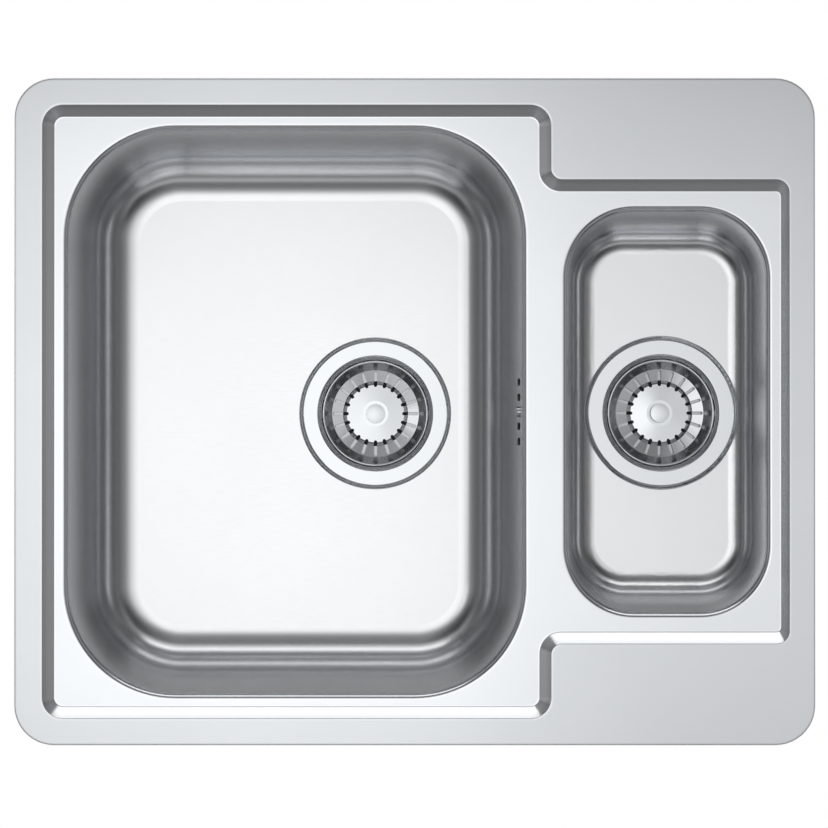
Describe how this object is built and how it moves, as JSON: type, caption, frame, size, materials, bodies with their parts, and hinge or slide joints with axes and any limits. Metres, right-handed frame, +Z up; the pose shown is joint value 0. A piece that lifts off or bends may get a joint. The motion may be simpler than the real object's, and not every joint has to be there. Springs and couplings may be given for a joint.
{
  "type": "kitchen sink",
  "caption": "Inset stainless steel sink with a main bowl and a half bowl, lift-out basket strainers, a wall overflow and swing-out worktop clips.",
  "frame": {"origin": "centre of the worktop cut-out, on the worktop's top face", "axes": "+X along the long side towards the half bowl, +Y to the rear, +Z up out of the worktop"},
  "size_m": [0.6, 0.5, 0.2458],
  "materials": {
    "deck_steel": "fine satin",
    "bowl_steel": "satin, drawn",
    "dish_steel": "polished",
    "basket_steel": "polished",
    "bright_steel": "bright",
    "zinc_steel": "zinc plated",
    "claw_steel": "zinc plated, pressed",
    "brass": "turned",
    "foam": "closed-cell foam",
    "damping_pad": "matt",
    "seal_rubber": "smooth",
    "grey_plastic": "moulded",
    "black_plastic": "moulded"
  },
  "bodies": {
    "sink": {"clip_brackets": "zinc_steel", "clip_nuts": "zinc_steel", "deck": "deck_steel", "half_body_seal": "seal_rubber", "half_bowl": "bowl_steel", "half_centre_screw": "bright_steel", "half_flange_seal": "seal_rubber", "half_insert_nut": "brass", "half_sound_pads": "damping_pad", "half_strainer_dish": "dish_steel", "half_waste_body": "grey_plastic", "main_body_seal": "seal_rubber", "main_bowl": "bowl_steel", "main_centre_screw": "bright_steel", "main_flange_seal": "seal_rubber", "main_insert_nut": "brass", "main_sound_pad": "damping_pad", "main_strainer_dish": "dish_steel", "main_waste_body": "grey_plastic", "overflow_head": "grey_plastic", "overflow_screw": "bright_steel", "overflow_seal": "seal_rubber", "rim_seal": "foam"},
    "main_stopper": {"main_stopper_hub": "black_plastic", "main_stopper_seal": "seal_rubber"},
    "main_basket": {"main_basket": "basket_steel", "main_basket_knob": "bright_steel"},
    "half_stopper": {"half_stopper_hub": "black_plastic", "half_stopper_seal": "seal_rubber"},
    "half_basket": {"half_basket": "basket_steel", "half_basket_knob": "bright_steel"},
    "clip_washer_1": {"clip_washer_1": "zinc_steel"},
    "clip_screw_1": {"clip_screw_1": "zinc_steel"},
    "clip_claw_1": {"clip_claw_1": "claw_steel"},
    "clip_washer_2": {"clip_washer_2": "zinc_steel"},
    "clip_screw_2": {"clip_screw_2": "zinc_steel"},
    "clip_claw_2": {"clip_claw_2": "claw_steel"},
    "clip_washer_3": {"clip_washer_3": "zinc_steel"},
    "clip_screw_3": {"clip_screw_3": "zinc_steel"},
    "clip_claw_3": {"clip_claw_3": "claw_steel"},
    "clip_washer_4": {"clip_washer_4": "zinc_steel"},
    "clip_screw_4": {"clip_screw_4": "zinc_steel"},
    "clip_claw_4": {"clip_claw_4": "claw_steel"},
    "clip_washer_5": {"clip_washer_5": "zinc_steel"},
    "clip_screw_5": {"clip_screw_5": "zinc_steel"},
    "clip_claw_5": {"clip_claw_5": "claw_steel"},
    "clip_washer_6": {"clip_washer_6": "zinc_steel"},
    "clip_screw_6": {"clip_screw_6": "zinc_steel"},
    "clip_claw_6": {"clip_claw_6": "claw_steel"},
    "clip_washer_7": {"clip_washer_7": "zinc_steel"},
    "clip_screw_7": {"clip_screw_7": "zinc_steel"},
    "clip_claw_7": {"clip_claw_7": "claw_steel"},
    "clip_washer_8": {"clip_washer_8": "zinc_steel"},
    "clip_screw_8": {"clip_screw_8": "zinc_steel"},
    "clip_claw_8": {"clip_claw_8": "claw_steel"}
  },
  "joints": [
    {"name": "main_basket_lift", "type": "slide", "parent": "sink", "child": "main_stopper", "axis": [0, 0, 1], "range_m": [0, 0.21]},
    {"name": "main_basket_turn", "type": "hinge", "parent": "main_stopper", "child": "main_basket", "pos_m": [-0.03069, 0, -0.1875], "axis": [0, 0, 1], "continuous": true},
    {"name": "half_basket_lift", "type": "slide", "parent": "sink", "child": "half_stopper", "axis": [0, 0, 1], "range_m": [0, 0.16]},
    {"name": "half_basket_turn", "type": "hinge", "parent": "half_stopper", "child": "half_basket", "pos_m": [0.1893, 0, -0.1375], "axis": [0, 0, 1], "continuous": true},
    {"name": "clip_lift_1", "type": "slide", "parent": "sink", "child": "clip_washer_1", "axis": [0, 0, 1], "range_m": [0, 0.013]},
    {"name": "clip_turn_1", "type": "hinge", "parent": "clip_washer_1", "child": "clip_screw_1", "pos_m": [-0.27082, -0.11, -0.049], "axis": [0, 0, 1], "range_deg": [0, 5860]},
    {"name": "clip_swing_1", "type": "hinge", "parent": "clip_washer_1", "child": "clip_claw_1", "pos_m": [-0.27082, -0.11, -0.049], "axis": [0, 0, -1], "range_deg": [0, 90]},
    {"name": "clip_lift_2", "type": "slide", "parent": "sink", "child": "clip_washer_2", "axis": [0, 0, 1], "range_m": [0, 0.013]},
    {"name": "clip_turn_2", "type": "hinge", "parent": "clip_washer_2", "child": "clip_screw_2", "pos_m": [-0.27082, 0.11, -0.049], "axis": [0, 0, 1], "range_deg": [0, 5860]},
    {"name": "clip_swing_2", "type": "hinge", "parent": "clip_washer_2", "child": "clip_claw_2", "pos_m": [-0.27082, 0.11, -0.049], "axis": [0, 0, -1], "range_deg": [0, 90]},
    {"name": "clip_lift_3", "type": "slide", "parent": "sink", "child": "clip_washer_3", "axis": [0, 0, 1], "range_m": [0, 0.013]},
    {"name": "clip_turn_3", "type": "hinge", "parent": "clip_washer_3", "child": "clip_screw_3", "pos_m": [-0.15, 0.22227, -0.049], "axis": [0, 0, 1], "range_deg": [0, 5860]},
    {"name": "clip_swing_3", "type": "hinge", "parent": "clip_washer_3", "child": "clip_claw_3", "pos_m": [-0.15, 0.22227, -0.049], "axis": [0, 0, -1], "range_deg": [0, 90]},
    {"name": "clip_lift_4", "type": "slide", "parent": "sink", "child": "clip_washer_4", "axis": [0, 0, 1], "range_m": [0, 0.013]},
    {"name": "clip_turn_4", "type": "hinge", "parent": "clip_washer_4", "child": "clip_screw_4", "pos_m": [0.192, 0.22227, -0.049], "axis": [0, 0, 1], "range_deg": [0, 5860]},
    {"name": "clip_swing_4", "type": "hinge", "parent": "clip_washer_4", "child": "clip_claw_4", "pos_m": [0.192, 0.22227, -0.049], "axis": [0, 0, -1], "range_deg": [0, 90]},
    {"name": "clip_lift_5", "type": "slide", "parent": "sink", "child": "clip_washer_5", "axis": [0, 0, 1], "range_m": [0, 0.013]},
    {"name": "clip_turn_5", "type": "hinge", "parent": "clip_washer_5", "child": "clip_screw_5", "pos_m": [-0.15, -0.22227, -0.049], "axis": [0, 0, 1], "range_deg": [0, 5860]},
    {"name": "clip_swing_5", "type": "hinge", "parent": "clip_washer_5", "child": "clip_claw_5", "pos_m": [-0.15, -0.22227, -0.049], "axis": [0, 0, -1], "range_deg": [0, 90]},
    {"name": "clip_lift_6", "type": "slide", "parent": "sink", "child": "clip_washer_6", "axis": [0, 0, 1], "range_m": [0, 0.013]},
    {"name": "clip_turn_6", "type": "hinge", "parent": "clip_washer_6", "child": "clip_screw_6", "pos_m": [0.192, -0.22227, -0.049], "axis": [0, 0, 1], "range_deg": [0, 5860]},
    {"name": "clip_swing_6", "type": "hinge", "parent": "clip_washer_6", "child": "clip_claw_6", "pos_m": [0.192, -0.22227, -0.049], "axis": [0, 0, -1], "range_deg": [0, 90]},
    {"name": "clip_lift_7", "type": "slide", "parent": "sink", "child": "clip_washer_7", "axis": [0, 0, 1], "range_m": [0, 0.013]},
    {"name": "clip_turn_7", "type": "hinge", "parent": "clip_washer_7", "child": "clip_screw_7", "pos_m": [0.27422, -0.095, -0.049], "axis": [0, 0, 1], "range_deg": [0, 5860]},
    {"name": "clip_swing_7", "type": "hinge", "parent": "clip_washer_7", "child": "clip_claw_7", "pos_m": [0.27422, -0.095, -0.049], "axis": [0, 0, -1], "range_deg": [0, 90]},
    {"name": "clip_lift_8", "type": "slide", "parent": "sink", "child": "clip_washer_8", "axis": [0, 0, 1], "range_m": [0, 0.013]},
    {"name": "clip_turn_8", "type": "hinge", "parent": "clip_washer_8", "child": "clip_screw_8", "pos_m": [0.27422, 0.095, -0.049], "axis": [0, 0, 1], "range_deg": [0, 5860]},
    {"name": "clip_swing_8", "type": "hinge", "parent": "clip_washer_8", "child": "clip_claw_8", "pos_m": [0.27422, 0.095, -0.049], "axis": [0, 0, -1], "range_deg": [0, 90]}
  ],
  "couplings": [
    {"joint": "clip_turn_1", "follows": "clip_lift_1", "rad_per_m": 7854},
    {"joint": "clip_turn_2", "follows": "clip_lift_2", "rad_per_m": 7854},
    {"joint": "clip_turn_3", "follows": "clip_lift_3", "rad_per_m": 7854},
    {"joint": "clip_turn_4", "follows": "clip_lift_4", "rad_per_m": 7854},
    {"joint": "clip_turn_5", "follows": "clip_lift_5", "rad_per_m": 7854},
    {"joint": "clip_turn_6", "follows": "clip_lift_6", "rad_per_m": 7854},
    {"joint": "clip_turn_7", "follows": "clip_lift_7", "rad_per_m": 7854},
    {"joint": "clip_turn_8", "follows": "clip_lift_8", "rad_per_m": 7854}
  ]
}
